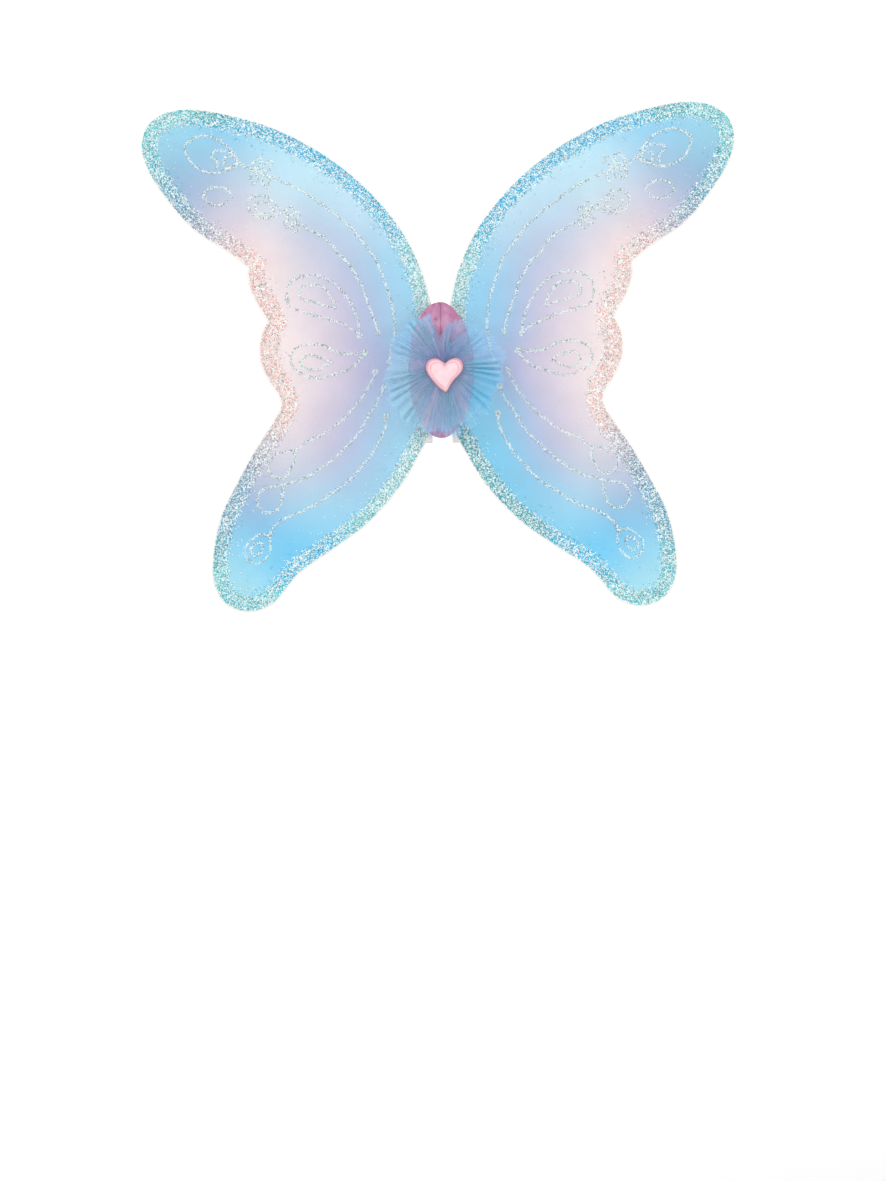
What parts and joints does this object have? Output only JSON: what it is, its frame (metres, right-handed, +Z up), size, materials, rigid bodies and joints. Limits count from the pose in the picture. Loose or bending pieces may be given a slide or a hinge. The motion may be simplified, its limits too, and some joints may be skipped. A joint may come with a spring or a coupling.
{
  "type": "costume fairy wings",
  "caption": "Child's costume fairy wings: two wired, scalloped sheer panels that flex on a padded oval centre with a tulle rosette, a heart patch and elastic arm loops.",
  "frame": {"origin": "middle of the back cover's flat face, where the pad rests on the wearer's back", "axes": "+Z up along the wearer's spine, +Y out of the back cover's face towards the wearer, +X to the wearer's right; the decorated side faces -Y"},
  "size_m": [0.5894, 0.1376, 0.5016],
  "materials": {
    "wing_fabric": "sheer nylon, dyed aqua, lavender and pink, with glitter",
    "edge_binding": "cream woven binding",
    "frame_wire": "drawn steel wire",
    "wire_joiner": "crimped sleeve",
    "back_felt": "soft felt",
    "core_foam": "foam strip",
    "board_plastic": "flexible sheet",
    "velvet": "crushed velvet, mauve",
    "filling": "polyester wadding",
    "tulle": "sheer sky-blue tulle",
    "thread": "polyester thread",
    "heart_felt": "pink felt with an overlocked edge",
    "heart_satin": "pale pink satin",
    "ribbon": "grosgrain ribbon",
    "elastic": "ribbed white elastic"
  },
  "bodies": {
    "pad": {"back_cover": "back_felt", "centre_core": "core_foam", "spine_board": "board_plastic", "cushion_back_cover": "velvet", "cushion_front_cover": "velvet", "cushion_filling": "filling", "tulle_rosette_lower": "tulle", "tulle_rosette_upper": "tulle", "gather_thread": "thread", "heart_backing": "heart_felt", "heart_patch": "heart_satin", "left_root_tab_upper": "ribbon", "left_root_tab_lower": "ribbon", "right_root_tab_upper": "ribbon", "right_root_tab_lower": "ribbon", "left_strap_tab_upper": "elastic", "left_strap_tab_lower": "elastic", "right_strap_tab_upper": "elastic", "right_strap_tab_lower": "elastic"},
    "left_wing": {"left_wing_wire": "frame_wire", "left_wire_joiner": "wire_joiner", "left_edge_casing": "edge_binding", "left_wing_membrane": "wing_fabric"},
    "right_wing": {"right_wing_wire": "frame_wire", "right_wire_joiner": "wire_joiner", "right_edge_casing": "edge_binding", "right_wing_membrane": "wing_fabric"},
    "left_strap": {"left_strap": "elastic"},
    "right_strap": {"right_strap": "elastic"}
  },
  "joints": [
    {"name": "left_wing_flap", "type": "hinge", "parent": "pad", "child": "left_wing", "pos_m": [-0.01, -0.00599, 0], "axis": [0, 0, 1], "range_deg": [-20, 20], "stiffness_Nm_per_rad": 0.25},
    {"name": "right_wing_flap", "type": "hinge", "parent": "pad", "child": "right_wing", "pos_m": [0.01, -0.00599, 0], "axis": [0, 0, -1], "range_deg": [-20, 20], "stiffness_Nm_per_rad": 0.25},
    {"name": "left_strap_swing", "type": "hinge", "parent": "pad", "child": "left_strap", "pos_m": [-0.015, 0.002, 0], "axis": [0, 0, 1], "range_deg": [-5, 45]},
    {"name": "right_strap_swing", "type": "hinge", "parent": "pad", "child": "right_strap", "pos_m": [0.015, 0.002, 0], "axis": [0, 0, -1], "range_deg": [-5, 45]}
  ]
}
